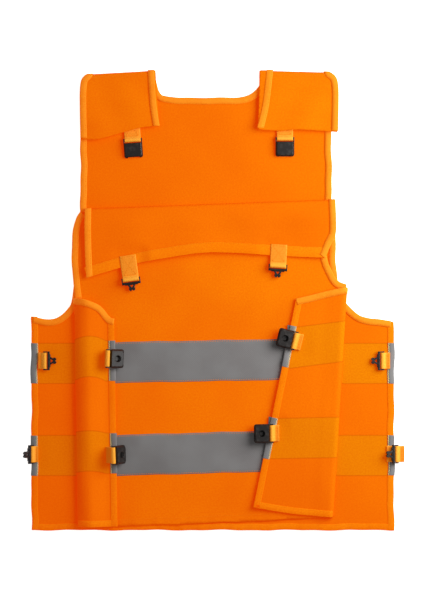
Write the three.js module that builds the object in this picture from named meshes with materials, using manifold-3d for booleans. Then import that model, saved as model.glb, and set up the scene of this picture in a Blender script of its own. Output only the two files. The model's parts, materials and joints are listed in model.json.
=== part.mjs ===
// Two-piece high-visibility vest, unbuckled and laid flat: the back panel lies inside face up, the
// front panel lies on it outside face up, and its top and both sides are folded over.
// Millimetres. +X to the wearer's left, +Y to the shoulders, +Z up from the surface it lies on.
// The origin is the middle of the footprint, on that surface.
import * as THREE from 'three';
import { mergeVertices } from 'three/addons/utils/BufferGeometryUtils.js';
import Module from 'manifold-3d';

// ---- driving dimensions ----
const panelWidth = 545; // both panels, side edge to side edge
const panelHeight = 690; // back panel, bottom hem to shoulder fold
const panelCentreX = -3.5;
const sideHeight = 318; // bottom hem to underarm
const crossBack = 376; // between the armholes
const crossBackCentreX = -14;
const neckWidth = 168;
const neckCentreX = -7;
const neckDepth = 41;
const armholeRadius = 34; // rounding of the underarm corner

const frontHeight = 474; // front panel, bottom hem to the fold of its top
const frontDrop = 6; // the front panel's bottom edge lies this far above the back panel's
const frontSkew = 14; // the front panel's right side lies this much higher
const flapDepthLeft = 104; // folded top of the front panel
const flapDepthRight = 88;
const flapMiddleDepth = 72;
const leftWingWidth = 61; // folded sides of the front panel
const rightWingTop = 77;
const rightWingBottom = 120;
const leftFoldIn = 66; // side edge to the fold line of each wing
const rightFoldIn = 72;
const rightFoldLean = 21;
const shoulderDepth = 96; // folded shoulder straps of the back panel
const shoulderFlare = 10; // how far each one overhangs the panel's edge

const cloth = 1.0; // thickness of the knitted fabric
const gap = 0.3; // kept between pieces that touch
const lip = 0.5; // one thickness of binding or of reflective tape
const bindingWidth = 9;
const tapeWidth = 61;
const tapeReturn = 10; // what the tape turns over at a side hem
const upperTapeY = 250; // middle of each tape above the bottom hem
const lowerTapeY = 112;

const webbingWidth = 24.2;
const webbing = 1.2; // one layer
const barRadius = 1.5;
const lugWall = 1.5; // beside the webbing, on each buckle half
const lugHeight = 4;
const femaleLength = 26.5; // bar to mouth
const femaleHeight = 8.5;
const socketWidth = 17;
const socketHeight = 5.2;
const windowRadius = 5.5;
const maleLength = 17.5; // bar to tip
const maleHeight = 4;
const prongBase = 13;
const prongTip = 7;

// ---- levels, from the surface up ----
const stack = cloth + 2 * (gap + lip); // a bound edge, or cloth with tape over and under
const backLevel = 0;
const frontLevel = backLevel + stack + 0.4;
const wingLevel = frontLevel + stack + 2.4;
const shoulderLevel = backLevel + stack + 2.9;
const clothAt = (level) => level + lip + gap; // underside of the cloth in a stack
const middleOf = (level) => level + stack / 2;

// ---- shared places ----
const bottom = -panelHeight / 2;
const top = panelHeight / 2;
const left = panelCentreX - panelWidth / 2;
const right = panelCentreX + panelWidth / 2;
const underarm = bottom + sideHeight;
const crossLeft = crossBackCentreX - crossBack / 2;
const crossRight = crossBackCentreX + crossBack / 2;
const neckLeft = neckCentreX - neckWidth / 2;
const neckRight = neckCentreX + neckWidth / 2;
const frontBottom = bottom + frontDrop;
const frontTop = frontBottom + frontHeight;
const tapeBands = { upper: bottom + upperTapeY, lower: bottom + lowerTapeY };
const leftFold = [
  [left + leftFoldIn, frontBottom + 342],
  [left + leftFoldIn + 5, frontBottom],
];
const rightFold = [
  [right - rightFoldIn, frontBottom + 361],
  [right - rightFoldIn - rightFoldLean, frontBottom + frontSkew],
];
const topFold = [
  [crossLeft + 6, frontTop],
  [crossRight + 6, frontTop + frontSkew],
];

// ---- materials ----
const finish = (color, roughness, metalness = 0) =>
  new THREE.MeshStandardMaterial({ color, roughness, metalness });
const fabricOrange = finish(0xf76a05, 0.9);
const bindingOrange = finish(0xf58a20, 0.8);
const reflectiveGrey = finish(0x7c7b7a, 0.45, 0.1);
const webbingOrange = finish(0xf0962a, 0.75);
const blackPlastic = finish(0x2a2522, 0.45);

// ---- outlines ----
const vectors = (points) => points.map(([x, y]) => new THREE.Vector2(x, y));
const smooth = (points, steps = 12) => new THREE.SplineCurve(vectors(points)).getPoints(steps);

// Moves an open line sideways, to the left of its own direction.
function aside(line, distance) {
  return line.map((point, i) => {
    const before = line[Math.max(i - 1, 0)];
    const after = line[Math.min(i + 1, line.length - 1)];
    const along = after.clone().sub(before).normalize();
    return new THREE.Vector2(point.x - along.y * distance, point.y + along.x * distance);
  });
}

// Makes an open line longer at both ends.
function longer(line, distance) {
  const first = line[0].clone().sub(line[1]).setLength(distance).add(line[0]);
  const last = line.at(-1).clone().sub(line.at(-2)).setLength(distance).add(line.at(-1));
  return [first, ...line, last];
}

function slab(outline, height, z = 0) {
  const shape = new THREE.Shape(outline);
  return new THREE.ExtrudeGeometry(shape, { depth: height, bevelEnabled: false }).translate(0, 0, z);
}

// ---- cutting and joining ----
const wasm = await Module();
wasm.setup();

function solid(geometry) {
  const bare = geometry.clone();
  bare.deleteAttribute('normal');
  bare.deleteAttribute('uv');
  const merged = mergeVertices(bare, 1e-4);
  return new wasm.Manifold(new wasm.Mesh({
    numProp: 3,
    vertProperties: merged.attributes.position.array,
    triVerts: new Uint32Array(merged.index.array),
  }));
}

function geometryOf(made) {
  const mesh = made.getMesh();
  const geometry = new THREE.BufferGeometry();
  geometry.setAttribute('position', new THREE.BufferAttribute(mesh.vertProperties, 3));
  geometry.setIndex(new THREE.BufferAttribute(mesh.triVerts, 1));
  return geometry;
}

const join = (...pieces) => geometryOf(pieces.map(solid).reduce((a, b) => a.add(b)));
const cut = (piece, ...tools) => geometryOf(tools.map(solid).reduce((a, b) => a.subtract(b), solid(piece)));

// ---- the object ----
const vest = new THREE.Group();

function add(name, geometry, material, z = 0) {
  const mesh = new THREE.Mesh(geometry, material);
  mesh.name = name;
  mesh.position.z = z;
  vest.add(mesh);
  return mesh;
}

// Where the end of one line and the start of the next meet when both are made straight.
function meeting(before, after) {
  const [a, b] = before.slice(-2);
  const [c, d] = after;
  const run = b.clone().sub(a);
  const next = d.clone().sub(c);
  const share = c.clone().sub(a).cross(next) / run.cross(next);
  return a.clone().add(run.multiplyScalar(share));
}

// Cloth inside a line of edges that run counter-clockwise, each one bound, taped or bare.
// Where an edge says `cornered`, it ends where the next one starts and the two share a corner.
function cloths(name, edges, level) {
  const lines = edges.map(({ line, inset = 0 }) => aside(line, inset));
  edges.forEach(({ cornered }, i) => {
    if (!cornered) return;
    const after = lines[(i + 1) % lines.length];
    const corner = meeting(lines[i], after);
    lines[i].pop();
    after[0] = corner;
  });
  add(name, slab(lines.flat(), cloth), fabricOrange, clothAt(level));
}

// A folded strip that holds a cloth edge: a channel, open towards the cloth.
// `from` and `to` trim the strip's ends, by points of the line.
function binding(name, line, level, from = 0, to = line.length) {
  const outline = [...line.slice(from, to), ...aside(line, bindingWidth).slice(from, to).reverse()];
  const run = longer(line, 2);
  const channel = [...aside(run, lip), ...aside(run, bindingWidth + 2).reverse()];
  const slot = slab(channel, cloth + 2 * gap, lip);
  add(name, cut(slab(outline, stack), slot), bindingOrange, level);
}
const boundInset = lip + gap; // the cloth's edge inside its binding

// Reflective tape along +X from the origin, on the outer face of a stack (`under` when that face is
// down). At the ends named in `turns` it goes round the cloth's edge and a little way back.
function tapeStrip(length, under, turns) {
  const outer = under ? 0 : stack - lip;
  const block = (from, to, z, height) => new THREE.BoxGeometry(to - from, tapeWidth, height)
    .translate((from + to) / 2, 0, z + height / 2);
  const returned = (from, to, edgeFrom, edgeTo) => [
    block(from, to, stack - lip - outer, lip), block(edgeFrom, edgeTo, 0, stack),
  ];
  const pieces = [block(0, length, outer, lip)];
  if (turns.includes('start')) pieces.push(...returned(0, tapeReturn, 0, lip));
  if (turns.includes('end')) pieces.push(...returned(length - tapeReturn, length, length - lip, length));
  return join(...pieces);
}

function tape(name, { x, y, to, level, under = true, turns = [], lean = 0 }) {
  const made = add(name, tapeStrip(to - x, under, turns), reflectiveGrey, level);
  made.position.x = x;
  made.position.y = y;
  made.rotation.z = lean;
}

// ---- buckle halves: the bar is at the origin, the mating end points along +X ----
const halfSpan = webbingWidth / 2 + 0.4;
const loopRadius = barRadius + 0.4 + webbing;
const bodyStart = loopRadius + 0.9;

function bar() {
  return new THREE.CylinderGeometry(barRadius, barRadius, 2 * halfSpan + lugWall, 16);
}

function lugs(height) {
  const length = bodyStart + barRadius + 2;
  return [-1, 1].map((side) => new THREE.BoxGeometry(length, lugWall, height)
    .translate(length / 2 - barRadius - 1, side * (halfSpan + lugWall / 2), 0));
}

// `face` is 1 where the round window is on the upper face and -1 where it is on the lower one.
function femaleHousing(face = 1) {
  const half = halfSpan + lugWall;
  const corner = 3.5;
  const outline = vectors([
    [bodyStart, -half], [femaleLength - corner, -half], [femaleLength, corner - half],
    [femaleLength, half - corner], [femaleLength - corner, half], [bodyStart, half],
  ]);
  const block = slab(outline, femaleHeight, -femaleHeight / 2);
  const depth = femaleLength - bodyStart - 2.5;
  const socket = new THREE.BoxGeometry(depth + 2, socketWidth, socketHeight)
    .translate(femaleLength + 1 - depth / 2, 0, 0);
  const window = new THREE.CylinderGeometry(windowRadius, windowRadius, femaleHeight, 24)
    .rotateX(Math.PI / 2).translate((bodyStart + femaleLength) / 2, 0, face * femaleHeight / 2);
  return join(cut(block, socket, window), bar(), ...lugs(lugHeight));
}

function maleProng() {
  const half = halfSpan + lugWall;
  const shoulder = bodyStart + 3.5;
  const barb = 1.4;
  const neck = maleLength - 4.5;
  const plate = slab(vectors([
    [bodyStart, -half], [shoulder, -half], [shoulder, half], [bodyStart, half],
  ]), maleHeight, -maleHeight / 2);
  const arrow = slab(vectors([
    [shoulder - 0.5, -prongBase / 2], [neck, -prongTip / 2], [neck, -prongTip / 2 - barb],
    [maleLength, -prongTip / 2 + 1], [maleLength - 2, 0], [maleLength, prongTip / 2 - 1],
    [neck, prongTip / 2 + barb], [neck, prongTip / 2], [shoulder - 0.5, prongBase / 2],
  ]), maleHeight, -maleHeight / 2);
  const triangle = slab(vectors([[shoulder + 1, -3], [shoulder + 5, 0], [shoulder + 1, 3]]), maleHeight + 2,
    -maleHeight / 2 - 1);
  return join(cut(join(plate, arrow), triangle), bar(), ...lugs(maleHeight));
}

// Webbing sewn down at one end and looped round the bar at the other.
// `reach` is the distance from the sewn end to the bar, `rise` the bar's height above the sewn part.
// Where `under` isn't 0, the sewn end isn't sewn down there: it turns and runs back under the bar.
function tabLoop(reach, rise, under) {
  const side = new THREE.Shape();
  const meet = Math.asin(webbing / loopRadius);
  side.moveTo(-reach, -rise + webbing);
  if (under === 0) {
    side.lineTo(-reach, -rise - webbing);
  } else {
    side.lineTo(-reach, -rise - 2 * webbing);
    side.lineTo(under, -rise - 2 * webbing);
    side.lineTo(under, -rise - webbing);
  }
  side.lineTo(-loopRadius - 2.5, -rise - webbing);
  side.absarc(0, 0, loopRadius, Math.PI + meet, 3 * Math.PI - meet, false);
  side.lineTo(-loopRadius - 2.5, -rise + webbing);
  side.holes.push(new THREE.Path().absarc(0, 0, loopRadius - webbing, 0, 2 * Math.PI, true));
  return new THREE.ExtrudeGeometry(side, { depth: webbingWidth, bevelEnabled: false, curveSegments: 16 })
    .rotateX(Math.PI / 2).translate(0, webbingWidth / 2, 0);
}

// A tab and the buckle half on it. `heading` is where the mating end points, `tilt` lifts that end,
// and `lean` lifts the bar end of the tab.
function fastening(name, make, { x, y, z, heading, tilt = 0, lean = 0, reach, rise = 0, under = 0 }) {
  const tab = add(`${name}_tab`, tabLoop(reach, rise, under), webbingOrange, z);
  const buckle = add(`${name}_buckle`, make(), blackPlastic, z);
  for (const piece of [tab, buckle]) {
    piece.position.x = x;
    piece.position.y = y;
    piece.rotation.order = 'ZYX';
    piece.rotation.z = THREE.MathUtils.degToRad(heading);
  }
  tab.rotation.y = -THREE.MathUtils.degToRad(lean);
  buckle.rotation.y = -THREE.MathUtils.degToRad(tilt);
}

// ---- back panel ----
const backNeck = smooth([
  [neckRight, top - 2], [neckRight - 6, top - 16], [neckRight - 20, top - 34],
  [neckRight - 42, top - neckDepth], [neckCentreX, top - neckDepth - 1],
  [neckLeft + 24, top - neckDepth + 1], [neckLeft + 8, top - 34], [neckLeft, top - 2],
], 24);
const backArmLeft = [
  ...vectors([[crossLeft + 8, top - 8], [crossLeft + 2.5, top - 15], [crossLeft + 0.5, top - 28]]),
  ...smooth([
    [crossLeft, underarm + 130], [crossLeft - 12, underarm + armholeRadius],
    [crossLeft - 18, underarm + 14], [crossLeft - 32, underarm + 1.5], [crossLeft - 50, underarm - 1],
    [left + lip + gap, underarm + 3],
  ], 21),
];
const backArmRight = [
  ...smooth([
    [right - lip - gap, underarm - 4], [right - 22, underarm - 2], [right - 40, underarm],
    [right - 58, underarm + 8], [crossRight + 14, underarm + armholeRadius], [crossRight + 8, underarm + 75],
    [crossRight + 6, underarm + 130], [crossRight + 1, underarm + 175],
  ], 24),
  ...vectors([[crossRight, top - 26], [crossRight - 2, top - 12], [crossRight - 8, top - 5]]),
];

function backPanel() {
  const side = lip + gap;
  cloths('back_panel', [
    { line: vectors([[left + side, bottom], [right - side, bottom]]) },
    { line: backArmRight, inset: boundInset },
    { line: backNeck, inset: boundInset },
    { line: backArmLeft, inset: boundInset },
  ], backLevel);
  binding('back_neck_binding', backNeck, backLevel);
  binding('back_armhole_binding_right', backArmRight, backLevel, 1);
  binding('back_armhole_binding_left', backArmLeft, backLevel, 0, -1);
  for (const [name, middle] of Object.entries(tapeBands)) {
    tape(`back_tape_${name}`, { x: left, to: right, y: middle, level: backLevel, turns: ['start', 'end'] });
  }
}

// The four side buckle halves of the back panel.
const sideBarHeight = middleOf(backLevel) + stack / 2 + gap + loopRadius + gap;
function sideFastenings() {
  const sewn = backLevel + stack + gap + webbing; // middle of the webbing on a turned tape end
  const rise = sideBarHeight - sewn;
  const place = { z: sideBarHeight, rise };
  fastening('side_upper_left', maleProng,
    { ...place, x: left + 21, y: tapeBands.upper + 4, heading: 0, reach: 10 });
  fastening('side_lower_left', maleProng,
    { ...place, x: left + 2, y: tapeBands.lower + 2, heading: 180, tilt: 50, reach: 9 });
  fastening('side_upper_right', maleProng,
    { ...place, x: right - 18, y: tapeBands.upper + 4, heading: 180, reach: 11 });
  const turnedBack = { z: sideBarHeight + webbing, rise, under: 15 };
  fastening('side_lower_right', maleProng,
    { ...turnedBack, x: right + 3, y: tapeBands.lower + 2.5, heading: 180, tilt: 20, reach: 11.5 });
}

// ---- shoulder straps of the back panel, folded forwards over it ----
// Its two bound sides run down on the left and up on the right.
function shoulder(name, leftSide, end, rightSide) {
  cloths(`${name}_shoulder_flap`, [
    { line: leftSide, inset: boundInset },
    { line: end },
    { line: rightSide, inset: boundInset },
  ], shoulderLevel);
  const outer = name === 'left' ? leftSide : rightSide;
  const inner = name === 'left' ? rightSide : leftSide;
  binding(`${name}_shoulder_outer_binding`, outer, shoulderLevel);
  binding(`${name}_shoulder_inner_binding`, inner, shoulderLevel);
}

function shoulders() {
  const low = top - shoulderDepth;
  const overhang = crossRight + shoulderFlare;
  shoulder('left',
    smooth([[crossLeft + 9, top - 7], [crossLeft + 2.5, top - 14], [crossLeft, top - 27],
      [crossLeft - 0.5, top - 52], [crossLeft + 0.5, low - 6]], 10),
    smooth([[crossLeft + 1, low - 8.5], [crossLeft + 27, low - 8.5], [crossLeft + 58, low],
      [crossLeft + 92, low + 9], [neckLeft + 7, low + 11]], 10),
    smooth([[neckLeft + 8, low + 12], [neckLeft + 3, top - 50], [neckLeft, top - 2]], 6));
  shoulder('right',
    smooth([[neckRight, top - 2], [neckRight - 6, top - 52], [neckRight - 14, low + 10]], 6),
    smooth([[neckRight - 13, low + 6], [neckRight + 20, low + 4], [neckRight + 50, low + 6],
      [overhang - 1, low + 2]], 8),
    smooth([[overhang, low + 4], [overhang + 1, top - 50], [overhang + 0.5, top - 25], [overhang - 3, top - 11],
      [overhang - 11, top - 4]], 10));
  const z = clothAt(backLevel) + cloth + gap + femaleHeight / 2 + 0.1;
  const sewn = clothAt(shoulderLevel) - gap - webbing; // the webbing is sewn under the flap
  const place = { z, reach: 38, rise: z - sewn };
  const windowDown = () => femaleHousing(-1);
  fastening('left_shoulder', windowDown, { ...place, x: neckLeft - 32.5, y: low - 9.5, heading: -86 });
  fastening('right_shoulder', windowDown, { ...place, x: neckRight + 27.5, y: low - 7.5, heading: -90 });
}

// ---- front panel ----
const frontArmLeft = smooth([
  [topFold[0][0] - 6, topFold[0][1] - 3], [crossLeft - 7, frontTop - 14], [crossLeft - 12, frontTop - 38],
  [crossLeft - 12, frontTop - 90], [leftFold[0][0], leftFold[0][1] + 1],
], 14);
const frontArmRight = smooth([
  [rightFold[0][0], rightFold[0][1] + 1], [crossRight + 10, rightFold[0][1] + 7],
  [crossRight + 1, rightFold[0][1] + 22], [crossRight - 6, rightFold[0][1] + 42],
  [crossRight - 7, rightFold[0][1] + 66], [crossRight, rightFold[0][1] + 100],
  [topFold[1][0] + 1, topFold[1][1] - 2],
], 24);
const frontHemLine = smooth([
  [leftFold[1][0] + 1, frontBottom], [left + 130, frontBottom], [left + 320, frontBottom + 7],
  [rightFold[1][0] - 1, rightFold[1][1]],
], 10);

function frontPanel() {
  cloths('front_panel', [
    { line: frontHemLine },
    { line: frontArmRight, inset: boundInset },
    { line: frontArmLeft, inset: boundInset },
  ], frontLevel);
  binding('front_armhole_binding_left', frontArmLeft, frontLevel);
  binding('front_armhole_binding_right', frontArmRight, frontLevel);
  for (const [name, middle] of Object.entries(tapeBands)) {
    const share = (middle - rightFold[1][1]) / (rightFold[0][1] - rightFold[1][1]);
    const foldX = THREE.MathUtils.lerp(rightFold[1][0], rightFold[0][0], share);
    const from = leftFold[1][0] + 2;
    tape(`front_tape_${name}`, { x: from, to: foldX - 5, y: middle + 4, level: frontLevel, under: false });
  }
}

// ---- top of the front panel, folded down, inside face up ----
const flapEnd = smooth([
  [topFold[0][0] + 5, topFold[0][1] - flapDepthLeft], [topFold[0][0] + 28, topFold[0][1] - flapDepthLeft + 7],
  [topFold[0][0] + 73, topFold[0][1] - flapDepthLeft + 20], [topFold[0][0] + 120, topFold[0][1] - 75],
  [topFold[0][0] + 193, topFold[0][1] - flapMiddleDepth + 6],
  [topFold[1][0] - 72, topFold[1][1] - flapDepthRight + 2],
  [topFold[1][0] - 17, topFold[1][1] - flapDepthRight],
], 18);
const flapLeft = smooth([
  [topFold[0][0] + 1, topFold[0][1] - 2], [topFold[0][0] + 1, topFold[0][1] - 50],
  [topFold[0][0] + 3, topFold[0][1] - flapDepthLeft + 3],
], 5);
const flapRight = smooth([
  [topFold[1][0] - 15, topFold[1][1] - flapDepthRight + 3], [topFold[1][0] - 5, topFold[1][1] - 62],
  [topFold[1][0] + 1, topFold[1][1] - 48], [topFold[1][0], topFold[1][1] - 2],
], 7);

function topFlap() {
  cloths('top_flap', [
    { line: flapLeft, inset: boundInset },
    { line: aside(flapEnd, 2) },
    { line: flapRight, inset: boundInset },
  ], wingLevel);
  binding('top_flap_armhole_binding_left', flapLeft, wingLevel);
  binding('top_flap_armhole_binding_right', flapRight, wingLevel);
  const hemWidth = 17;
  const hemLine = aside(flapEnd.slice(2, -2), 2);
  add('top_flap_neckline_hem', slab([...hemLine, ...aside(hemLine, hemWidth).reverse()], lip), bindingOrange,
    clothAt(wingLevel) + cloth + gap);
  const z = wingLevel + stack + gap + webbing;
  fastening('top_flap_left', maleProng,
    { x: crossLeft + 76, y: topFold[0][1] - 104, z, heading: -82, tilt: -8, reach: 36 });
  fastening('top_flap_right', maleProng,
    { x: crossRight - 80, y: topFold[1][1] - 98, z, heading: -93, tilt: -8, reach: 32 });
}

// ---- sides of the front panel, folded in, inside face up ----
const wingBar = wingLevel + stack + gap + femaleHeight / 2 + gap;
const wingSewn = wingLevel + stack + gap + webbing;

function wing(name, outline, armhole, tapes) {
  cloths(`${name}_wing`, outline, wingLevel);
  binding(`${name}_wing_armhole_binding`, armhole, wingLevel);
  for (const [band, place] of Object.entries(tapes)) {
    tape(`${name}_wing_tape_${band}`, { level: wingLevel, ...place });
  }
}

// The left wing's two halves hang down over its edge, until their mouths are just above the front panel.
const leftFree = left + leftFoldIn + leftWingWidth;
function leftWing() {
  const wingTop = leftFold[0][1] - 4;
  const armhole = smooth([
    [leftFree - 1.5, wingTop - 27], [leftFree - 9, wingTop - 24], [leftFree - 22, wingTop - 8],
    [leftFree - 42, wingTop + 1], [leftFold[0][0] + 2, wingTop + 4],
  ], 10);
  const freeEdge = vectors([[leftFree + 4, frontBottom], [leftFree - 1, wingTop - 30]]);
  const corner = new THREE.Vector2(leftFold[1][0] + 1, frontBottom);
  wing('left', [
    { line: [corner, freeEdge[0]], cornered: true },
    { line: freeEdge, inset: lip + gap },
    { line: armhole, inset: boundInset },
  ], armhole, {
    upper: { x: leftFold[0][0] + 5, to: leftFree + 2, y: tapeBands.upper + 4, turns: ['end'] },
    lower: { x: leftFold[1][0] + 3, to: leftFree + 3.5, y: tapeBands.lower + 4, turns: ['end'] },
  });
  const hanging = (droop, lean) => {
    const angle = THREE.MathUtils.degToRad(droop);
    const mouthDrop = femaleLength * Math.sin(angle) + femaleHeight / 2 * Math.cos(angle);
    const z = frontLevel + stack + 3 * gap + mouthDrop;
    return { z, tilt: -droop, lean, reach: (z - wingSewn) / Math.sin(THREE.MathUtils.degToRad(lean)) };
  };
  fastening('left_wing_upper', femaleHousing,
    { ...hanging(35, 63), x: leftFree - 10.8, y: tapeBands.upper + 8, heading: -2 });
  fastening('left_wing_lower', femaleHousing,
    { ...hanging(57, 55), x: leftFree - 2, y: tapeBands.lower + 2, heading: 2 });
}

function rightWing() {
  const [foldTop, foldBottom] = rightFold.map(([x, y]) => new THREE.Vector2(x, y));
  const freeTop = new THREE.Vector2(foldTop.x - rightWingTop, foldTop.y - 20);
  const freeBottom = new THREE.Vector2(foldBottom.x - rightWingBottom, foldBottom.y + 15);
  const armhole = smooth([
    [foldTop.x - 4, foldTop.y - 3], [foldTop.x - 32, foldTop.y - 9], [foldTop.x - 55, foldTop.y - 15],
    [freeTop.x, freeTop.y],
  ], 8);
  const along = (y) => (freeTop.y - y) / (freeTop.y - freeBottom.y);
  const freeAt = (y) => freeTop.clone().lerp(freeBottom, along(y));
  const foldAt = (y) => foldTop.clone().lerp(foldBottom, (foldTop.y - y) / (foldTop.y - foldBottom.y));
  const lean = Math.atan2(freeBottom.x - freeTop.x, freeTop.y - freeBottom.y);
  const slanted = (y) => {
    const { x } = freeAt(y);
    return { x, y, to: x + (foldAt(y).x - x) * Math.cos(lean) - 12, turns: ['start'], lean };
  };
  wing('right', [
    { line: armhole, inset: boundInset, cornered: true },
    { line: [freeTop, freeBottom], inset: lip + gap, cornered: true },
    { line: smooth([[freeBottom.x, freeBottom.y], [foldBottom.x - 60, foldBottom.y + 5],
      [foldBottom.x - 1, foldBottom.y]], 6) },
  ], armhole, {
    upper: slanted(tapeBands.upper + 34),
    lower: slanted(tapeBands.lower + 36),
  });
  const place = { z: wingBar, reach: 11, rise: wingBar - wingSewn };
  const upperY = tapeBands.upper + 34;
  const lowerY = tapeBands.lower + 34;
  fastening('right_wing_upper', femaleHousing,
    { ...place, x: freeAt(upperY).x + 12, y: upperY, heading: 166 });
  fastening('right_wing_lower', femaleHousing,
    { ...place, x: freeAt(lowerY).x + 6, y: lowerY, heading: 181 });
}

backPanel();
sideFastenings();
shoulders();
frontPanel();
topFlap();
leftWing();
rightWing();

export default vest;
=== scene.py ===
"""Looks of a two-piece high-visibility vest that lies unbuckled: knitted cloth, bindings, hems,
reflective tape, webbing tabs, moulded buckle halves and sewing thread, around the CAD frame.

Metres, +Z up. Each cloth is a sheet: a rule that turns flat points of the cut cloth into places.
Everything sewn to a cloth is laid on its sheet by the same rule, so it follows every fold.
"""
import json
import math
import random

import bmesh
import bpy
import numpy as np
from mathutils import Matrix, Vector
from mathutils.geometry import delaunay_2d_cdt


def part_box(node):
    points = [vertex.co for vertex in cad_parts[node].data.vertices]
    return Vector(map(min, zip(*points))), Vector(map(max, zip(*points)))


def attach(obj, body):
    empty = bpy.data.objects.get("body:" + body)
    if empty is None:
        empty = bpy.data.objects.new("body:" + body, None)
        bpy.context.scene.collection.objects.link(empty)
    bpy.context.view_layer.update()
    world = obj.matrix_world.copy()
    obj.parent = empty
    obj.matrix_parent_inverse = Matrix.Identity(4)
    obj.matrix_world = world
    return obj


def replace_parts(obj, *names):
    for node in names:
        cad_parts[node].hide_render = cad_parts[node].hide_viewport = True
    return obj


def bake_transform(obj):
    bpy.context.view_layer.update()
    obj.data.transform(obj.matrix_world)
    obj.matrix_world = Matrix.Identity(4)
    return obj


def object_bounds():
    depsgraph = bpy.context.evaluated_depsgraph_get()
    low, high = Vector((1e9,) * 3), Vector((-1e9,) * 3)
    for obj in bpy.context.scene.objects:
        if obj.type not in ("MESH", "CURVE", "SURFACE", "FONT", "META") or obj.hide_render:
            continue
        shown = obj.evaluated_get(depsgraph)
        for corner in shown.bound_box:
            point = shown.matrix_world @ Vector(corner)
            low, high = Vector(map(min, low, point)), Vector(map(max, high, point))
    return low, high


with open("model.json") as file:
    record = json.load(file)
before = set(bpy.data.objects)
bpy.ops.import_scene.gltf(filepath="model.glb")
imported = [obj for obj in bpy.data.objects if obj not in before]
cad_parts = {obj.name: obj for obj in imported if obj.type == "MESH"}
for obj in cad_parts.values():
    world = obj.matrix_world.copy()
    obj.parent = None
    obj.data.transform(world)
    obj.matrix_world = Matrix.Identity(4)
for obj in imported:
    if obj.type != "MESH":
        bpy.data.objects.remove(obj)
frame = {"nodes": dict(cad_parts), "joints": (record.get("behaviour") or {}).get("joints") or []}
cad_low, cad_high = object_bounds()
joints = {joint["name"]: joint for joint in frame["joints"]}
thread_lengths = random.Random(5)

MM = 0.001

# ---- measures ----
CLOTH = 0.8 * MM
HINGE_OUT = 1.5 * MM        # the hinge axis of a fold lies this far outside it
LIP = 11 * MM               # what a folded cloth runs under the cloth it turns away from
BINDING = 9 * MM
BINDING_UP = 1.35 * MM      # outside of a binding above the middle of its cloth
HEM = 10 * MM
HEM_UP = 1.0 * MM           # top of a hem above the middle of its cloth
NECK_HEM = 16 * MM
TAPE_TURN = 9.5 * MM
WEBBING = 1.2 * MM
TAPE = 0.3 * MM             # thickness where it is turned over an edge
STITCH = 2.6 * MM
STITCH_GAP = 0.9 * MM
SEAM_UP = 0.1 * MM          # how far a seam's middle lies above what it is sewn through
FEMALE_HEIGHT = 8.5 * MM
MALE_HEIGHT = 4 * MM
BODY_START = 4 * MM         # from the bar of a buckle half to its body
BAR_RADIUS = 1.5 * MM
LUG = 1.5 * MM              # width of each lug that holds the bar
LUG_BACK = 2.5 * MM         # how far a lug goes behind the bar's axis
STRIP_START = 9 * MM        # a tape behind a folded side starts this far over the cloth from the fold
FOLD_STRIP = 8 * MM         # an edge that stays this close to a fold is the fold
SIDES = ("left", "right")
BANDS = ("upper", "lower")
CHUNK = 2000                # points that are compared with an outline at a time


# ---- paths and plan shapes from the frame ----
def run_lengths(path):
    """How far along an open path each of its points lies."""
    return np.r_[0, np.cumsum(np.linalg.norm(np.diff(path, axis=0), axis=1))]


def signed_area(loop):
    x, y = loop.T
    return np.sum(x * np.roll(y, -1) - y * np.roll(x, -1)) / 2


def gaps_to(points, loop):
    """How far each point is from the nearest edge of a closed loop."""
    ahead = np.roll(loop, -1, 0) - loop
    offset = points[:, None] - loop[None]
    share = np.clip((offset * ahead).sum(2) / ((ahead * ahead).sum(1) + 1e-15), 0, 1)
    return np.linalg.norm(offset - share[..., None] * ahead, axis=2).min(1)


def outline(node):
    """The edge of a flat CAD node's lower face, counter-clockwise, as an N x 2 array."""
    mesh = frame["nodes"][node].data
    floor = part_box(node)[0].z + 1e-5
    sides = set()
    for face in mesh.polygons:
        corners = [mesh.vertices[i].co for i in face.vertices]
        if all(c.z < floor for c in corners):
            keys = [(round(c.x, 6), round(c.y, 6)) for c in corners]
            sides.update(zip(keys, keys[1:] + keys[:1]))
    following = {a: b for a, b in sides if (b, a) not in sides}
    start = min(following)
    loop = [start]
    while following[loop[-1]] != start:
        loop.append(following[loop[-1]])
    loop = np.array(loop)
    return loop if signed_area(loop) > 0 else loop[::-1]


def evenly(path, step):
    """An open path with points at even distances near `step`."""
    lengths = run_lengths(path)
    count = max(int(round(lengths[-1] / step)), 1) + 1
    where = np.linspace(0, lengths[-1], count)
    return np.column_stack([np.interp(where, lengths, path[:, k]) for k in range(path.shape[1])])


def edges_of(loop, turn=38):
    """A closed loop split at its corners into open paths that keep its direction."""
    ahead = np.roll(loop, -1, 0) - loop
    angles = np.arctan2(ahead[:, 1], ahead[:, 0])
    turns = np.abs((angles - np.roll(angles, 1) + np.pi) % (2 * np.pi) - np.pi)
    corners = [i for i in range(len(loop)) if turns[i] > math.radians(turn)]
    ends = corners[1:] + [corners[0] + len(loop)]
    return [np.array([loop[i % len(loop)] for i in range(a, b + 1)]) for a, b in zip(corners, ends)]


def beside(points, node, reach=1.8 * MM):
    """Which plan points lie along the edge of a CAD node."""
    return gaps_to(points, outline(node)) < reach


def longest_run(mask):
    """Where the longest stretch of True starts and ends."""
    best, start = (0, 0), None
    for i, on in enumerate([*mask, False]):
        if on and start is None:
            start = i
        if not on and start is not None:
            best = max(best, (i - start, -start))
            start = None
    return -best[1], -best[1] + best[0]


def middle_z(node):
    low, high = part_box(node)
    return (low.z + high.z) / 2


# ---- how the cloth lies ----
def waves(x, y, *rows):
    """Rows of (height in mm, wavelength in mm, direction in degrees, shift), all added up."""
    total = np.zeros_like(x)
    for height, length, direction, shift in rows:
        a = math.radians(direction)
        along = (x * math.cos(a) + y * math.sin(a)) / (length * MM)
        total += height * MM * np.sin(2 * np.pi * along + shift)
    return total


def bump(x, centre, width):
    return np.exp(-((x - centre) / width) ** 2)


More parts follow.
